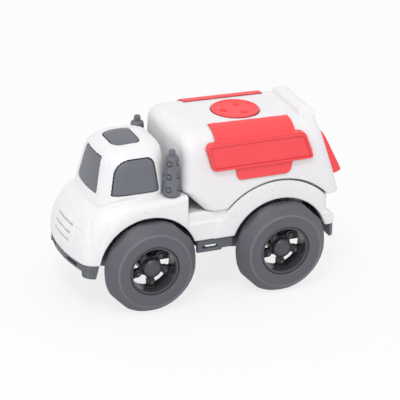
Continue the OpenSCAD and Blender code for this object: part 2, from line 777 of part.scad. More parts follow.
// Front bumper: a band round the nose, cheeks at its corners and a slot on each side
module front_bumper() {
    end_x = nose_x - bumper_l;
    difference() {
        union() {
            bumper_band(bumper_low_z, nose_z - fit);
            intersection() {
                bumper_band(cheek_z, nose_z - over);
                mirror_pair() along([[cheek_y, nose_z, 0], [cheek_y + cheek_taper, cheek_z - over, 0],
                    [track_w / 2, cheek_z - over, 0], [track_w / 2, nose_z, 0]], front_x, nose_x + over);
            }
        }
        mirror_pair() translate([end_x, slot_y, bumper_low_z + slot_rise])
            cube([bumper_l + over, slot_w, slot_h]);
        across([[front_x, cheek_z - over, 0], [end_x + cheek_taper, cheek_z - over, 0], [end_x, nose_z, 0],
            [front_x, nose_z, 0]], track_w);
    }
    mirror_pair() translate([channel_front_x - over, arm_y, bumper_low_z + arm_rise])
        cube([nose_x - bumper_t - channel_front_x + over, arm_w, nose_z - bumper_low_z - over]);
}

module rear_bumper() {
    difference() {
        upward(ledge_plan(), tail_z - rear_bumper_h, tail_z - fit, bumper_inset);
        translate([ledge_x + bumper_inset + bumper_t, -track_w / 2, 0]) cube([track_w, track_w, track_w]);
    }
    mirror_pair() translate([ledge_x + bumper_inset + bumper_t / 2, arm_y, tail_z - rear_bumper_h + over])
        cube([channel_rear_x - ledge_x, arm_w, rear_bumper_h - 2 * over]);
}

// Running boards: a slotted rail on each side, carried by two cross bars
module rails() mirror_pair() {
    length = rail_front_x - rail_rear_x;
    difference() {
        translate([rail_rear_x, rail_w / 2 - rail_t, rail_low_z])
            cube([length, rail_t, sill_z - fit - rail_low_z]);
        translate([rail_slot_x, 0, rail_low_z + rail_slot_rise]) cube([rail_slot_l, track_w, rail_slot_h]);
        translate([rail_rear_x - over, 0, rail_low_z - over])
            cube([rail_step_l + over, track_w, rail_step_h + over]);
    }
    for (x = [rail_rear_x + bar_in, rail_front_x - bar_in - bar_w])
        translate([x, channel_w / 2 - over, channel_top_z - bar_w - over])
            cube([bar_w, (rail_w - channel_w) / 2 - rail_t + 1.5 * over, bar_w]);
}

module chassis() color(grey_c) difference() {
    union() {
        channel();
        rails();
        front_bumper();
        rear_bumper();
    }
    for (x = [front_x, rear_x]) rod_across(axle_d / 2 + running_fit, x, axle_z, track_w);
    for (p = chassis_screw_at)
        translate([p[0], p[1], channel_low_z]) cylinder(d = screw_d + 2 * fit, h = channel_top_z);
}

module screw() {
    cylinder(d = screw_d, h = screw_l);
    difference() {
        translate([0, 0, -head_h]) cylinder(d = head_d, h = head_h);
        for (a = [0, 90]) rotate(a) translate([-recess_l / 2, -recess_w / 2, -head_h - over])
            cube([recess_l, recess_w, over + recess_h]);
    }
}

module chassis_screws() color(steel_c) for (p = chassis_screw_at)
    translate([p[0], p[1], channel_top_z - seat_h - fit]) screw();
module box_screws() color(steel_c) for (p = box_screw_at)
    translate([p[0], p[1], bed_z - wall - fit]) screw();

module axle(x) color(steel_c) rod_across(axle_d / 2, x, axle_z, axle_l);
module front_axle() axle(front_x);
module rear_axle() axle(rear_x);

// Tyre of the wheel whose axle is at x, on the left side: hollow from behind, with flats round its tread
module tyre(x) color(grey_c) {
    outer = track_w / 2;
    inner = outer - tyre_w;
    seat = outer - rim_l;
    bore = rim_r + fit / 2;
    translate([x, 0, axle_z]) rotate([-90, 0, 0]) difference() {
        rotate_extrude($fn = 96) polygon(outline([[bore, seat, bead_r], [hollow_r, seat, hollow_edge_r],
            [hollow_r, inner, bead_r], [sidewall_r, inner, sidewall_edge_r],
            [tyre_r - shoulder_drop, inner + shoulder_w, shoulder_r], [tyre_r, outer - crown_in, crown_r],
            [tyre_r - tread_edge_drop, outer - tread_edge_in, tread_edge_r],
            [sidewall_r, outer, sidewall_edge_r], [bore, outer, bead_r]]));
        for (k = [0:tread_flats - 1]) rotate(90 + 360 * k / tread_flats)
            translate([flat_r, -tyre_r, inner - over]) cube([tyre_r, 2 * tyre_r, tyre_w + 2 * over]);
    }
}

// Rim of the same wheel: a short barrel, spokes with a bolt on each, and a hub pressed on the axle
module rim(x) color(dark_c) {
    outer = track_w / 2 - rim_lip;
    inner = track_w / 2 - rim_l + fit;
    hub_in = channel_w / 2 + bearing_out + hub_play;
    face = track_w / 2 - rim_dish;
    spoke_y = face - spoke_t - spoke_drop;
    translate([x, 0, axle_z]) rotate([-90, 0, 0]) difference() {
        union() {
            translate([0, 0, inner]) difference() {
                cylinder(r = rim_r, h = outer - inner);
                translate([0, 0, -over]) cylinder(r = rim_r - rim_t, h = outer - inner + 2 * over);
            }
            translate([0, 0, hub_in]) cylinder(r = hub_r, h = face - hub_in);
            translate([0, 0, face - dome_drop]) intersection() {
                sphere(r = dome_r);
                translate([0, 0, dome_drop - over]) cylinder(r = hub_r, h = dome_r);
            }
            translate([0, 0, spoke_y + spoke_t - star_drop - star_t]) difference() {
                cylinder(r = star_r, h = star_t);
                for (k = [0:spokes - 1]) rotate(90 + 360 * (k + 0.5) / spokes)
                    translate([star_cut_at, 0, -over]) cylinder(r = star_cut_r, h = star_t + 2 * over);
            }
            for (k = [0:spokes - 1]) rotate(90 + 360 * k / spokes) {
                translate([0, 0, spoke_y]) linear_extrude(spoke_t) polygon(outline([[0, -spoke_w / 2, 0],
                    [rim_r - rim_t / 2, -spoke_foot_w / 2, 0], [rim_r - rim_t / 2, spoke_foot_w / 2, 0],
                    [0, spoke_w / 2, 0]]));
                translate([bolt_at, 0, spoke_y]) cylinder(r = boss_r, h = spoke_t + boss_h);
                translate([bolt_at, 0, spoke_y]) cylinder(r = bolt_r, h = spoke_t + bolt_h);
            }
        }
        translate([0, 0, hub_in - over])
            cylinder(r = axle_d / 2 + fit / 2, h = axle_l / 2 + fit - hub_in + over);
    }
}

module tyre_front_left() tyre(front_x);
module tyre_front_right() mirror([0, 1, 0]) tyre(front_x);
module tyre_rear_left() tyre(rear_x);
module tyre_rear_right() mirror([0, 1, 0]) tyre(rear_x);
module rim_front_left() rim(front_x);
module rim_front_right() mirror([0, 1, 0]) rim(front_x);
module rim_rear_left() rim(rear_x);
module rim_rear_right() mirror([0, 1, 0]) rim(rear_x);

body_shell();
cab_insert();
box_shell();
side_panel_left();
side_panel_right();
rear_panel();
roof_disc();
stack_left();
stack_right();
chassis();
chassis_screws();
box_screws();
front_axle();
rear_axle();
tyre_front_left();
tyre_front_right();
tyre_rear_left();
tyre_rear_right();
rim_front_left();
rim_front_right();
rim_rear_left();
rim_rear_right();
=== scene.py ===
"""Looks of the toy ambulance: moulded edges, finishes and small relief, in a plain studio."""

import logging
import math
from dataclasses import dataclass, field
from enum import Enum

import bmesh
import bpy
from mathutils import Matrix, Vector

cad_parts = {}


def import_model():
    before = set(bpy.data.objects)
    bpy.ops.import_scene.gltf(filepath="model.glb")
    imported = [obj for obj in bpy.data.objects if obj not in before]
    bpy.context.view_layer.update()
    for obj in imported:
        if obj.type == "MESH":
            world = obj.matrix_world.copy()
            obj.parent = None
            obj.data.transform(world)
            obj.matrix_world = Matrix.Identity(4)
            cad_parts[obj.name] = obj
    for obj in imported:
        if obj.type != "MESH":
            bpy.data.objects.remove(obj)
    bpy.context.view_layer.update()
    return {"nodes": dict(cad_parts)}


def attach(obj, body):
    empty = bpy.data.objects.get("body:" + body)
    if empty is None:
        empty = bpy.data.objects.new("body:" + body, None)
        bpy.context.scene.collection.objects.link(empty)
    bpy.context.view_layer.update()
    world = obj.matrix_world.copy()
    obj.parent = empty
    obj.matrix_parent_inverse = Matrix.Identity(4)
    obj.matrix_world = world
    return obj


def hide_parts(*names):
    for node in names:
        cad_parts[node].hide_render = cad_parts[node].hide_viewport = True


LOG = logging.getLogger("toy_ambulance")
MM = 0.001
MERGE_DIST = 0.001 * MM
SOFTEN = 0.5
SHARP_ANGLE = math.radians(60)
Colour = tuple[float, float, float, float]


class Slot(Enum):
    """Material slots of the part's record."""

    WHITE = "white_plastic"
    RED = "red_plastic"
    GREY = "grey_plastic"
    CHASSIS = "chassis_plastic"
    TYRE = "tyre_plastic"
    DARK = "dark_plastic"
    STEEL = "steel"


class Body(Enum):
    """Bodies that the pieces ride on."""

    TOY = "body"
    FRONT = "front_wheels"
    REAR = "rear_wheels"


class View(Enum):
    """Views that a path can be drawn in."""

    SIDE = "side"
    FRONT = "front"


class Side(Enum):
    """Sides of the toy, as the sign of y."""

    LEFT = 1
    RIGHT = -1


def linear(red: int, green: int, blue: int) -> Colour:
    """Turns a screen colour into scene light.

    Args:
        red: red from 0 to 255.
        green: green from 0 to 255.
        blue: blue from 0 to 255.

    Returns:
        The colour in linear light, with full alpha.
    """
    shares = (red / 255, green / 255, blue / 255)
    light = [s / 12.92 if s <= 0.04045 else ((s + 0.055) / 1.055) ** 2.4 for s in shares]
    return (light[0], light[1], light[2], 1.0)


class Wire:
    """A number that flows between shader nodes; arithmetic on it adds Math nodes."""

    def __init__(self, graph: "Graph", socket: bpy.types.NodeSocket) -> None:
        """Wraps an output socket of a graph."""
        self.graph = graph
        self.socket = socket

    def math(self, operation: str, *values: object) -> "Wire":
        """Adds a Math node.

        Args:
            operation: name of the Math node's operation.
            values: numbers or wires for its inputs.

        Returns:
            The wire that leaves the node.
        """
        made = self.graph.add("ShaderNodeMath", {"operation": operation}, dict(enumerate(values)))
        return Wire(self.graph, made.outputs[0])

    def __add__(self, other: object) -> "Wire":
        """Adds a number or a wire."""
        return self.math("ADD", self, other)

    def __sub__(self, other: object) -> "Wire":
        """Takes a number or a wire away."""
        return self.math("SUBTRACT", self, other)

    def __rsub__(self, other: object) -> "Wire":
        """Takes this wire away from a number."""
        return self.math("SUBTRACT", other, self)

    def __mul__(self, other: object) -> "Wire":
        """Multiplies by a number or a wire."""
        return self.math("MULTIPLY", self, other)

    def __gt__(self, other: object) -> "Wire":
        """Gives 1 where this wire is the larger one, and 0 elsewhere."""
        return self.math("GREATER_THAN", self, other)

    __radd__ = __add__
    __rmul__ = __mul__

    def held(self) -> "Wire":
        """Keeps the number between 0 and 1."""
        return self.math("MINIMUM", self.math("MAXIMUM", self, 0.0), 1.0)


class Graph:
    """Node graph of one material, ending in a Principled shader."""

    def __init__(self, name: str) -> None:
        """Starts a material that holds only its shader and output."""
        self.material = bpy.data.materials.new(name)
        self.material.use_nodes = True
        self.tree = self.material.node_tree
        self.shader = self.tree.nodes["Principled BSDF"]

    def add(
        self, kind: str, settings: dict[str, object], inputs: dict[object, object],
    ) -> bpy.types.Node:
        """Adds a node.

        Args:
            kind: the node's type.
            settings: attributes of the node, set first.
            inputs: a value, socket or wire for each named or numbered input.

        Returns:
            The new node.
        """
        made = self.tree.nodes.new(kind)
        for name, value in settings.items():
            setattr(made, name, value)
        for name, value in inputs.items():
            self.feed(made.inputs[name], value)
        return made

    def feed(self, target: bpy.types.NodeSocket, value: object) -> None:
        """Links a wire or socket to an input, or sets a plain value on it."""
        source = value.socket if isinstance(value, Wire) else value
        if isinstance(source, bpy.types.NodeSocket):
            self.tree.links.new(source, target)
        else:
            target.default_value = source

    def place(self, turn: Vector, stretch: Vector) -> bpy.types.NodeSocket:
        """Gives object coordinates, turned and stretched.

        Args:
            turn: angles about the axes, in radians.
            stretch: cells per metre along each axis.

        Returns:
            The vector socket.
        """
        spot = self.add("ShaderNodeTexCoord", {}, {}).outputs["Object"]
        inputs = {"Vector": spot, "Rotation": turn, "Scale": stretch}
        return self.add("ShaderNodeMapping", {}, inputs).outputs["Vector"]

    def noise(self, per_metre: float, detail: float) -> Wire:
        """Gives smooth noise from 0 to 1.

        Args:
            per_metre: waves per metre.
            detail: number of finer layers.

        Returns:
            The noise as a wire.
        """
        where = self.place(Vector((0, 0, 0)), Vector((per_metre,) * 3))
        made = self.add("ShaderNodeTexNoise", {}, {"Vector": where, "Scale": 1.0, "Detail": detail})
        return Wire(self, made.outputs["Fac"])

    def mix(self, share: Wire, first: object, second: object) -> bpy.types.NodeSocket:
        """Mixes two colours.

        Args:
            share: share of the second colour.
            first: colour or socket at a share of 0.
            second: colour or socket at a share of 1.

        Returns:
            The mixed colour's socket.
        """
        made = self.add("ShaderNodeMix", {"data_type": "RGBA"}, {0: share, 6: first, 7: second})
        return made.outputs[2]

    def relief(self, height: Wire, depth: float, strength: float) -> None:
        """Feeds a height to the shader's normal.

        Args:
            height: height from 0 to 1.
            depth: real depth of the relief in metres.
            strength: share of the relief that shows.
        """
        inputs = {"Height": height, "Distance": depth, "Strength": strength}
        bump = self.add("ShaderNodeBump", {}, inputs)
        self.feed(self.shader.inputs["Normal"], bump.outputs["Normal"])


STRAW_TURNS = (Vector((0.3, 0.5, 0.9)), Vector((1.1, -0.7, 2.3)), Vector((-0.6, 1.2, -0.8)))


@dataclass(frozen=True)
class StrawPlastic:
    """Satin plastic with straw flecks moulded into it, with painted shade in its gaps and hollows and a
    painted highlight with wear on its edges.
    """

    name: str
    base: Colour
    shade: Colour
    fleck: Colour
    dark_fleck: Colour
    # painted highlight with wear: a lighter colour for convex edges and tyre ridges
    edge_highlight_and_wear: Colour
    # painted shade: a darker colour laid where ambient occlusion finds a gap, groove or hollow
    painted_shade: Colour
    fleck_share: float = 0.4
    fleck_strength: float = 0.42
    fleck_l: float = 2.4 * MM
    fleck_w: float = 1.3 * MM
    fleck_least: float = 0.06
    fleck_spread: float = 0.13
    fleck_sharpness: float = 22.0
    cloud_waves: float = 60.0
    cloud_gain: float = 1.6
    cloud_from: float = 0.3
    grit_waves: float = 2600.0
    # how much painted highlight with wear the sharp edges get, found by the mesh's pointiness
    highlight_and_wear_share: float = 0.0
    highlight_and_wear_from: float = 0.512
    highlight_and_wear_gain: float = 20.0
    # how much painted shade the gaps and hollows get, and how far the occlusion looks
    painted_shade_share: float = 0.8
    painted_shade_reach: float = 1.1 * MM
    painted_shade_from: float = 0.93
    painted_shade_gain: float = 1.9
    painted_shade_samples: int = 12
    rings: tuple[tuple[float, float], ...] = ()
    hub_x: float = 30.0 * MM
    hub_z: float = 20.0 * MM
    # painted highlight with wear on the tyre ridges: its least share, and how much the noise adds
    ridge_line_least: float = 0.4
    ridge_line_gain: float = 0.9
    roughness: float = 0.42
    rough_change: float = 0.08
    rough_straw: float = 0.06
    gloss: float = 0.45
    grain: float = 0.05
    relief_depth: float = 0.12 * MM
    relief_cloud: float = 2.0
    relief_straw: float = 0.3

    def ridge_highlight_and_wear(self, graph: Graph, cloud: Wire) -> Wire:
        """Paints a highlight with wear on the tyres' ridges, by their radius about either axle.

        Args:
            graph: graph that takes the nodes.
            cloud: slow noise that makes the painted highlight and wear uneven.

        Returns:
            The mask of the painted highlight and wear on the ridges.
        """
        spot = graph.add("ShaderNodeTexCoord", {}, {}).outputs["Object"]
        parts = graph.add("ShaderNodeSeparateXYZ", {}, {0: spot})
        x, z = Wire(graph, parts.outputs["X"]), Wire(graph, parts.outputs["Z"])
        ahead, above = x.math("ABSOLUTE", x) - self.hub_x, z - self.hub_z
        square = ahead * ahead + above * above
        radius = square.math("SQRT", square)
        ridge_lines = None
        for at, width in self.rings:
            off = radius - at
            band = (1.0 - off.math("ABSOLUTE", off) * (1 / width)).held()
            ridge_lines = band if ridge_lines is None else ridge_lines.math("MAXIMUM", ridge_lines, band)
        return (ridge_lines * (cloud * self.ridge_line_gain + self.ridge_line_least)).held()

    def flecks(self, graph: Graph, turn: Vector) -> tuple[Wire, Wire]:
        """Scatters straw flecks along one direction.

        Args:
            graph: graph that takes the nodes.
            turn: angles that lay the straws, in radians.

        Returns:
            The mask of the flecks, and a random number for each of them.
        """
        cells_per_m = Vector((1 / self.fleck_l, 1 / self.fleck_w, 1 / self.fleck_w))
        where = graph.place(turn, cells_per_m)
        cells = graph.add("ShaderNodeTexVoronoi", {}, {"Vector": where, "Scale": 1.0})
        parts = graph.add("ShaderNodeSeparateColor", {}, {0: cells.outputs["Color"]})
        chance = Wire(graph, parts.outputs[0])
        size = Wire(graph, parts.outputs[1]) * self.fleck_spread + self.fleck_least
        inside = ((size - Wire(graph, cells.outputs["Distance"])) * self.fleck_sharpness).held()
        return inside * (chance > 1 - self.fleck_share), Wire(graph, parts.outputs[2])

    def build(self) -> bpy.types.Material:
        """Makes the material."""
        graph = Graph(self.name)
        cloud = graph.noise(self.cloud_waves, 3.0)
        grit = graph.noise(self.grit_waves, 2.0)
        clouded = (cloud * self.cloud_gain - self.cloud_from).held()
        colour = graph.mix(clouded, self.base, self.shade)
        straw = None
        for turn in STRAW_TURNS:
            mask, tone = self.flecks(graph, turn)
            tint = graph.mix(tone, self.fleck, self.dark_fleck)
            colour = graph.mix(mask * self.fleck_strength, colour, tint)
            straw = mask if straw is None else straw + mask
        # painted highlight with wear on the tyres' ridges, by radius about the axles
        if self.rings:
            ridge_lines = self.ridge_highlight_and_wear(graph, cloud) * self.highlight_and_wear_share
            colour = graph.mix(ridge_lines, colour, self.edge_highlight_and_wear)
        # painted highlight with wear: lightens sharp convex edges, found by pointiness
        elif self.highlight_and_wear_share > 0:
            bend = Wire(graph, graph.add("ShaderNodeNewGeometry", {}, {}).outputs["Pointiness"])
            edge_highlight_and_wear_mask = ((bend - self.highlight_and_wear_from) * self.highlight_and_wear_gain).held() * self.highlight_and_wear_share
            colour = graph.mix(edge_highlight_and_wear_mask, colour, self.edge_highlight_and_wear)
        # painted shade: darkens the colour in gaps, grooves and hollows where ambient occlusion finds
        # them
        settings = {"samples": self.painted_shade_samples}
        open_air = graph.add("ShaderNodeAmbientOcclusion", settings, {"Distance": self.painted_shade_reach})
        shut = self.painted_shade_from - Wire(graph, open_air.outputs["AO"])
        painted_shade_mask = (shut * self.painted_shade_gain).held() * self.painted_shade_share
        colour = graph.mix(painted_shade_mask, colour, self.painted_shade)
        graph.feed(graph.shader.inputs["Base Color"], colour)
        least_rough = self.roughness - self.rough_change
        rough = cloud * self.rough_change + grit * self.rough_change + least_rough
        graph.feed(graph.shader.inputs["Roughness"], rough + straw * self.rough_straw)
        graph.shader.inputs["Specular IOR Level"].default_value = self.gloss
        height = grit + cloud * self.relief_cloud + straw * self.relief_straw
        graph.relief(height, self.relief_depth, self.grain)
        return graph.material


@dataclass(frozen=True)
class DrawnSteel:
    """Bright steel wire with fine marks along its length."""

    name: str
    base: Colour
    shade: Colour
    across: float = 9000.0
    along: float = 500.0
    roughness: float = 0.28
    rough_change: float = 0.25
    relief_depth: float = 0.05 * MM
    grain: float = 0.15

    def build(self) -> bpy.types.Material:
        """Makes the material."""
        graph = Graph(self.name)
        waves = Vector((self.across, self.along, self.across))
        inputs = {"Vector": graph.place(Vector((0, 0, 0)), waves), "Scale": 1.0, "Detail": 4.0}
        made = graph.add("ShaderNodeTexNoise", {}, inputs)
        marks = Wire(graph, made.outputs["Fac"])
        graph.feed(graph.shader.inputs["Base Color"], graph.mix(marks, self.base, self.shade))
        graph.feed(graph.shader.inputs["Roughness"], marks * self.rough_change + self.roughness)
        graph.shader.inputs["Metallic"].default_value = 1.0
        graph.relief(marks, self.relief_depth, self.grain)
        return graph.material


TAN = linear(206, 188, 164)
BROWN = linear(150, 128, 104)
TYRE_RINGS = ((16.3 * MM, 0.6 * MM), (10.5 * MM, 0.4 * MM))
# each finish's darkest colour is painted shade for its gaps and hollows
FINISHES: dict[Slot, StrawPlastic | DrawnSteel] = {
    Slot.WHITE: StrawPlastic(
        "white_straw_plastic", base=linear(238, 237, 239), shade=linear(234, 232, 234),
        fleck=TAN, dark_fleck=BROWN, edge_highlight_and_wear=linear(243, 243, 244), painted_shade=linear(150, 145, 144),
        painted_shade_share=0.6),
    Slot.RED: StrawPlastic(
        "red_straw_plastic", base=linear(248, 83, 87), shade=linear(245, 77, 81),
        fleck=linear(238, 118, 112), dark_fleck=linear(214, 62, 66), edge_highlight_and_wear=linear(252, 116, 120),
        painted_shade=linear(150, 34, 40), fleck_strength=0.22, gloss=0.35),
    Slot.GREY: StrawPlastic(
        "grey_straw_plastic", base=linear(113, 115, 123), shade=linear(107, 109, 117),
        fleck=linear(138, 136, 134), dark_fleck=linear(88, 86, 88), edge_highlight_and_wear=linear(140, 142, 148),
        painted_shade=linear(40, 40, 44), fleck_strength=0.25, highlight_and_wear_share=0.3, painted_shade_share=0.6, gloss=0.32),
    Slot.CHASSIS: StrawPlastic(
        "chassis_straw_plastic", base=linear(96, 98, 107), shade=linear(88, 90, 98),
        fleck=linear(120, 118, 116), dark_fleck=linear(66, 65, 67), edge_highlight_and_wear=linear(124, 126, 133),
        painted_shade=linear(36, 36, 40), fleck_strength=0.25, highlight_and_wear_share=0.4),
    Slot.TYRE: StrawPlastic(
        "tyre_straw_plastic", base=linear(97, 98, 105), shade=linear(89, 90, 97),
        fleck=linear(126, 124, 122), dark_fleck=linear(72, 71, 73), edge_highlight_and_wear=linear(134, 135, 141),
        painted_shade=linear(38, 38, 42), fleck_strength=0.1, highlight_and_wear_share=0.6, rings=TYRE_RINGS,
        roughness=0.55, gloss=0.35, grain=0.09),
    Slot.DARK: StrawPlastic(
        "dark_plastic", base=linear(74, 75, 80), shade=linear(66, 67, 72),
        fleck=linear(86, 85, 84), dark_fleck=linear(42, 42, 44), edge_highlight_and_wear=linear(98, 99, 105),
        painted_shade=linear(16, 16, 18), fleck_share=0.25, fleck_strength=0.2, highlight_and_wear_share=0.5,
        # the long occlusion reach paints shade over the whole hollow inside the wheel
        painted_shade_share=0.85, painted_shade_reach=5.0 * MM, roughness=0.36, gloss=0.5),
    Slot.STEEL: DrawnSteel("drawn_steel", base=linear(205, 206, 208), shade=linear(170, 171, 175)),
}


class Paint:
    """Keeps one material for each slot."""

    def __init__(self) -> None:
        """Starts with no material made."""
        self.made: dict[Slot, bpy.types.Material] = {}

    def dress(self, piece: bpy.types.Object, slot: Slot) -> None:
        """Gives a piece its slot's material.

        Args:
            piece: object to dress.
            slot: material slot of the record.
        """
        if slot not in self.made:
            self.made[slot] = FINISHES[slot].build()
        piece.data.materials.clear()
        piece.data.materials.append(self.made[slot])


def new_piece(name: str, mesh: bpy.types.Mesh) -> bpy.types.Object:
    """Links a mesh to the scene as a piece at the origin, shaded smooth.

    Args:
        name: the piece's name.
        mesh: its finished mesh.

    Returns:
        The new object.
    """
    mesh.name = name
    mesh.shade_smooth()
    piece = bpy.data.objects.new(name, mesh)
    bpy.context.scene.collection.objects.link(piece)
    return piece


@dataclass
class Crease:
    """A shallow line pressed into both halves of a moulding, along a path drawn in one view."""

    path: tuple[tuple[float, float], ...]
    view: View = View.SIDE
    width: float = 0.9
    depth: float = 0.38
    nearest: float = 14.0
    facing: float = 0.5

    def look(self, spot: Vector) -> tuple[float, float]:
        """Gives a spot's place across the view, and how near it is to the viewer.

        Args:
            spot: point in the toy's frame, in millimetres.

        Returns:
            Both numbers, in millimetres.
        """
        return (spot.x, abs(spot.y)) if self.view is View.SIDE else (abs(spot.y), spot.x)

    def press(self, mesh: bpy.types.Mesh) -> None:
        """Moves the points near the path inwards.

        Args:
            mesh: skinned mesh of the moulding.
        """
        spots = [Vector((x, z)) for x, z in self.path]
        margin = Vector((self.width, self.width))
        low = Vector((min(p.x for p in spots), min(p.y for p in spots))) - margin
        high = Vector((max(p.x for p in spots), max(p.y for p in spots))) + margin
        inwards: dict[int, Vector] = {}
        for point in mesh.vertices:
            across, near = self.look(point.co / MM)
            at = Vector((across, point.co.z / MM))
            if near < self.nearest or not (low.x < at.x < high.x and low.y < at.y < high.y):
                continue
            sideways = point.normal.y * point.co.y > 0
            outward = sideways or max(point.normal.x, point.normal.z) > self.facing
            away = min(self.distance(at, a, b) for a, b in zip(spots, spots[1:]))
            if outward and away < self.width:
                share = 0.5 + 0.5 * math.cos(math.pi * away / self.width)
                inwards[point.index] = point.normal * (-self.depth * MM * share)
        for index, move in inwards.items():
            mesh.vertices[index].co += move

    @staticmethod
    def distance(at: Vector, start: Vector, end: Vector) -> float:
        """Measures how far a point is from a stretch of the path.

        Args:
            at: the point, in the path's view.
            start: first end of the stretch.
            end: other end of the stretch.

        Returns:
            The distance in millimetres.
        """
        run = end - start
        share = min(1.0, max(0.0, (at - start).dot(run) / run.length_squared))
        return (at - start - run * share).length


@dataclass
class Moulding:
    """A moulded piece: the CAD node's form with the soft edges that a mould leaves."""

    node: str
    slot: Slot
    voxel: float
    passes: int = 5
    kept: float = 1.0
    creases: list[Crease] = field(default_factory=list)

    def mesh(self, source: bpy.types.Object) -> bpy.types.Mesh:
        """Merges a copy of the node's triangles, skins and softens it, and presses its creases.

        Args:
            source: the CAD node's object.

        Returns:
            The softened mesh.
        """
        form = bmesh.new()
        form.from_mesh(source.data)
        bmesh.ops.remove_doubles(form, verts=form.verts, dist=MERGE_DIST)
        rough = bpy.data.meshes.new(self.node + "_rough")
        form.to_mesh(rough)
        form.free()
        carrier = bpy.data.objects.new(self.node + "_carrier", rough)
        bpy.context.scene.collection.objects.link(carrier)
        skin = carrier.modifiers.new("skin", "REMESH")
        skin.mode = "VOXEL"
        skin.voxel_size = self.voxel
        soften = carrier.modifiers.new("soften", "SMOOTH")
        soften.factor = SOFTEN
        soften.iterations = self.passes
        if self.creases:
            seen = carrier.evaluated_get(bpy.context.evaluated_depsgraph_get())
            skinned = bpy.data.meshes.new_from_object(seen)
            for crease in self.creases:
                crease.press(skinned)
            carrier.modifiers.clear()
            carrier.data = skinned
            bpy.data.meshes.remove(rough)
            rough = skinned
        if self.kept < 1:
            thin = carrier.modifiers.new("thin", "DECIMATE")
            thin.ratio = self.kept
        seen = carrier.evaluated_get(bpy.context.evaluated_depsgraph_get())
        mesh = bpy.data.meshes.new_from_object(seen)
        bpy.data.objects.remove(carrier)
        bpy.data.meshes.remove(rough)
        return mesh

    def build(self, nodes: dict[str, bpy.types.Object], body: Body, paint: Paint) -> None:
        """Makes the piece, puts it in the node's place and dresses it.

        Args:
            nodes: the frame's CAD objects.
            body: body that the piece rides on.
            paint: materials by slot.
        """
        piece = new_piece(self.node + "_moulding", self.mesh(nodes[self.node]))
        paint.dress(piece, self.slot)
        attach(piece, body.value)
        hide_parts(self.node)
        LOG.info("%s: %d faces", piece.name, len(piece.data.polygons))


@dataclass
class SubAssembly:
    """Pieces that ride on one body: mouldings, and hardware kept as the CAD has it."""

    body: Body = Body.TOY
    mouldings: list[Moulding] = field(default_factory=list)
    hardware: list[str] = field(default_factory=list)

    def build(self, nodes: dict[str, bpy.types.Object], paint: Paint) -> None:
        """Builds every moulding and dresses the hardware.

        Args:
            nodes: the frame's CAD objects.
            paint: materials by slot.
        """
        for moulding in self.mouldings:
            moulding.build(nodes, self.body, paint)
        for name in self.hardware:
            paint.dress(nodes[name], Slot.STEEL)
            LOG.info("%s: dressed", name)


FENDER_LINE = Crease((
    (56.4, 31.0), (56.2, 37.0), (54.8, 42.0), (51.4, 45.9), (47.0, 48.7), (41.6, 50.2), (35.4, 50.6)))
HEADLAMP_LINE = Crease((
    (11.6, 36.4), (12.3, 37.1), (15.0, 37.2), (16.3, 36.3), (17.1, 34.6), (16.6, 33.5), (13.2, 32.7),
    (12.1, 33.3), (11.6, 36.4)), view=View.FRONT, width=0.75, depth=0.34, nearest=50.0)


@dataclass
class Bodywork(SubAssembly):
    """White body with its cab, windows and stacks."""

    mouldings: list[Moulding] = field(default_factory=lambda: [
        Moulding("body_shell", Slot.WHITE, 0.34 * MM, passes=3, kept=0.29,
                 creases=[FENDER_LINE, HEADLAMP_LINE]),
        Moulding("cab_insert", Slot.GREY, 0.35 * MM, passes=3, kept=0.6),
        Moulding("stack_left", Slot.GREY, 0.14 * MM, passes=1),
        Moulding("stack_right", Slot.GREY, 0.14 * MM, passes=1),
    ])


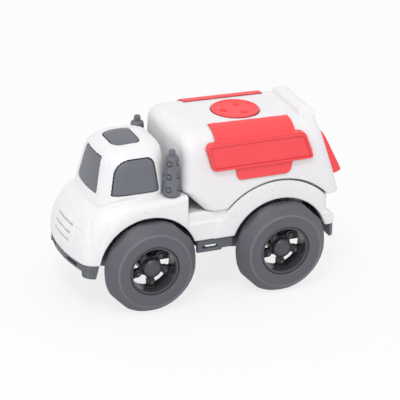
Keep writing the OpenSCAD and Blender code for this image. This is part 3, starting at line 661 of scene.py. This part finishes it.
@dataclass
class RescueBox(SubAssembly):
    """White box with its red panels, roof disc and the rims of its sign plates."""

    mouldings: list[Moulding] = field(default_factory=lambda: [
        Moulding("box_shell", Slot.WHITE, 0.42 * MM, passes=4, kept=0.5),
        Moulding("side_panel_left", Slot.RED, 0.2 * MM, passes=3, kept=0.5),
        Moulding("side_panel_right", Slot.RED, 0.2 * MM, passes=3, kept=0.5),
        Moulding("rear_panel", Slot.RED, 0.35 * MM),
        Moulding("roof_disc", Slot.RED, 0.25 * MM, passes=4),
    ])
    hardware: list[str] = field(default_factory=lambda: ["box_screws"])
    plate_corners: tuple[tuple[float, float], ...] = (
        (-44.3, 59.7), (2.6, 59.7), (6.3, 72.3), (-39.6, 72.3))
    plate_face: float = 25.5
    plate_r: float = 2.4
    plate_segments: int = 8
    rim_inset: float = 0.3
    rim_w: float = 0.95
    rim_h: float = 0.7
    rim_edge: float = 0.2
    rim_segments: int = 3

    def plate_rim(self, side: Side) -> bpy.types.Mesh:
        """Makes the raised rim round a sign plate.

        Args:
            side: side of the toy.

        Returns:
            The rim's mesh.
        """
        form = bmesh.new()
        spots = [form.verts.new((x * MM, 0, z * MM)) for x, z in self.plate_corners]
        form.faces.new(spots)
        bmesh.ops.bevel(
            form, geom=list(form.verts), offset=self.plate_r * MM, offset_type="OFFSET",
            segments=self.plate_segments, profile=0.5, affect="VERTICES", material=-1)
        border = bmesh.ops.inset_region(
            form, faces=list(form.faces), thickness=self.rim_inset * MM, use_boundary=True,
            use_even_offset=True)
        bmesh.ops.delete(form, geom=border["faces"], context="FACES")
        middle = list(form.faces)
        bmesh.ops.inset_region(
            form, faces=middle, thickness=self.rim_w * MM, use_boundary=True, use_even_offset=True)
        bmesh.ops.delete(form, geom=middle, context="FACES_ONLY")
        grown = bmesh.ops.extrude_face_region(form, geom=list(form.faces))
        raised = [v for v in grown["geom"] if isinstance(v, bmesh.types.BMVert)]
        bmesh.ops.translate(form, verts=raised, vec=(0, self.rim_h * MM, 0))
        seat = self.plate_face - self.rim_edge
        bmesh.ops.translate(form, verts=form.verts, vec=(0, seat * MM, 0))
        bmesh.ops.scale(form, verts=form.verts, vec=(1, side.value, 1))
        bmesh.ops.recalc_face_normals(form, faces=form.faces)
        shared = [e for e in form.edges if len(e.link_faces) == 2]
        sharp = [e for e in shared if e.calc_face_angle() > SHARP_ANGLE]
        bmesh.ops.bevel(
            form, geom=sharp, offset=self.rim_edge * MM, offset_type="OFFSET",
            segments=self.rim_segments, profile=0.5, affect="EDGES", material=-1)
        mesh = bpy.data.meshes.new("rim")
        form.to_mesh(mesh)
        form.free()
        return mesh

    def build(self, nodes: dict[str, bpy.types.Object], paint: Paint) -> None:
        """Builds the box, then the rims of its two sign plates.

        Args:
            nodes: the frame's CAD objects.
            paint: materials by slot.
        """
        super().build(nodes, paint)
        for side in Side:
            rim = new_piece(f"plate_rim_{side.name.lower()}", self.plate_rim(side))
            paint.dress(rim, Slot.RED)
            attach(rim, self.body.value)
            LOG.info("%s: %d faces", rim.name, len(rim.data.polygons))


@dataclass
class Undercarriage(SubAssembly):
    """Grey chassis with bumpers and running boards, and its screws."""

    mouldings: list[Moulding] = field(default_factory=lambda: [
        Moulding("chassis", Slot.CHASSIS, 0.35 * MM, passes=2, kept=0.5),
    ])
    hardware: list[str] = field(default_factory=lambda: ["chassis_screws"])


@dataclass
class WheelSet(SubAssembly):
    """One axle with its two tyres and rims."""

    end: str = "front"

    def __post_init__(self) -> None:
        """Names the pieces of this end's wheels."""
        self.body = Body[self.end.upper()]
        self.hardware = [f"{self.end}_axle"]
        for side in Side:
            where = f"{self.end}_{side.name.lower()}"
            self.mouldings += [
                Moulding("tyre_" + where, Slot.TYRE, 0.3 * MM, passes=4, kept=0.8),
                Moulding("rim_" + where, Slot.DARK, 0.2 * MM, passes=2, kept=0.5),
            ]


@dataclass
class Studio:
    """Plain floor, soft light and the camera at the photograph's view."""

    azimuth: float = 67.37
    elevation: float = 23.94
    roll: float = -1.1
    distance: float = 1.2
    focal_px: float = 2762.1
    frame_px: float = 400.0
    sensor_w: float = 36.0
    clip: tuple[float, float] = (0.05, 50.0)
    target: Vector = field(default_factory=lambda: Vector((0, 0, 20 * MM)))
    shift_right: float = 2.28 * MM
    shift_up: float = 14.7 * MM
    floor_size: float = 6.0
    floor_colour: Colour = field(default_factory=lambda: linear(240, 240, 241))
    floor_dim: float = 0.98
    floor_grit: float = 300.0
    floor_rough: float = 0.85
    floor_gloss: float = 0.1
    floor_glow: float = 0.8
    sky: float = 0.82
    key_at: tuple[float, float, float] = (0.45, 0.7, 1.3)
    key_size: float = 0.4
    key_power: float = 7.5

    def camera(self) -> None:
        """Sets up the camera from its solved angles."""
        a, e, r = (math.radians(v) for v in (self.azimuth, self.elevation, self.roll))
        back = Vector((math.cos(e) * math.cos(a), math.cos(e) * math.sin(a), math.sin(e)))
        level = Vector((-math.sin(a), math.cos(a), 0))
        above = back.cross(level)
        right = level * math.cos(r) - above * math.sin(r)
        up = level * math.sin(r) + above * math.cos(r)
        data = bpy.data.cameras.new("camera")
        data.sensor_width = self.sensor_w
        data.lens = self.focal_px * self.sensor_w / self.frame_px
        data.clip_start, data.clip_end = self.clip
        camera = bpy.data.objects.new("camera", data)
        bpy.context.scene.collection.objects.link(camera)
        place = Matrix((right, up, back)).transposed().to_4x4()
        centre = self.target + right * self.shift_right + up * self.shift_up
        place.translation = centre + back * self.distance
        camera.matrix_world = place
        bpy.context.scene.camera = camera

    def lamp(self, name: str, at: tuple[float, float, float], size: float, power: float) -> None:
        """Hangs a soft square lamp that faces the toy.

        Args:
            name: the lamp's name.
            at: its place in metres.
            size: its edge in metres.
            power: its power in watts.
        """
        data = bpy.data.lights.new(name, "AREA")
        data.size = size
        data.energy = power
        lamp = bpy.data.objects.new(name, data)
        lamp.location = at
        lamp.rotation_mode = "QUATERNION"
        lamp.rotation_quaternion = (self.target - Vector(at)).to_track_quat("-Z", "Y")
        bpy.context.scene.collection.objects.link(lamp)

    def floor(self) -> None:
        """Lays the pale floor, which looks white to the camera and in reflections."""
        form = bmesh.new()
        bmesh.ops.create_grid(form, x_segments=4, y_segments=4, size=self.floor_size / 2)
        mesh = bpy.data.meshes.new("floor")
        form.to_mesh(mesh)
        form.free()
        floor = bpy.data.objects.new("floor", mesh)
        bpy.context.scene.collection.objects.link(floor)
        graph = Graph("floor_paper")
        grit = graph.noise(self.floor_grit, 2.0)
        dimmed = tuple(c * self.floor_dim for c in self.floor_colour[:3]) + (1.0,)
        graph.feed(graph.shader.inputs["Base Color"], graph.mix(grit, self.floor_colour, dimmed))
        graph.shader.inputs["Roughness"].default_value = self.floor_rough
        graph.shader.inputs["Specular IOR Level"].default_value = self.floor_gloss
        path = graph.add("ShaderNodeLightPath", {}, {})
        kinds = ("Camera", "Glossy", "Transmission")
        rays = [Wire(graph, path.outputs[f"Is {kind} Ray"]) for kind in kinds]
        seen = (rays[0] + rays[1] + rays[2]).held() * self.floor_glow
        white = graph.add("ShaderNodeEmission", {}, {"Color": (1, 1, 1, 1), "Strength": 1.0})
        inputs = {0: seen, 1: graph.shader.outputs[0], 2: white.outputs[0]}
        both = graph.add("ShaderNodeMixShader", {}, inputs)
        graph.feed(graph.tree.nodes["Material Output"].inputs["Surface"], both.outputs[0])
        mesh.materials.append(graph.material)

    def build(self) -> None:
        """Makes the world, the camera, the floor and the key lamp."""
        scene = bpy.context.scene
        scene.view_settings.view_transform = "Standard"
        world = bpy.data.worlds.new("studio")
        world.use_nodes = True
        scene.world = world
        background = world.node_tree.nodes["Background"]
        background.inputs["Color"].default_value = (1, 1, 1, 1)
        background.inputs["Strength"].default_value = self.sky
        self.camera()
        self.floor()
        self.lamp("key", self.key_at, self.key_size, self.key_power)


def main() -> None:
    """Builds the studio, then the toy from its sub-assemblies."""
    logging.basicConfig(level=logging.INFO, format="%(message)s")
    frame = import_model()
    Studio().build()
    paint = Paint()
    wheels = [WheelSet(end="front"), WheelSet(end="rear")]
    assemblies = [Bodywork(), RescueBox(), Undercarriage(), *wheels]
    for assembly in assemblies:
        assembly.build(frame["nodes"], paint)


if __name__ == "__main__":
    main()
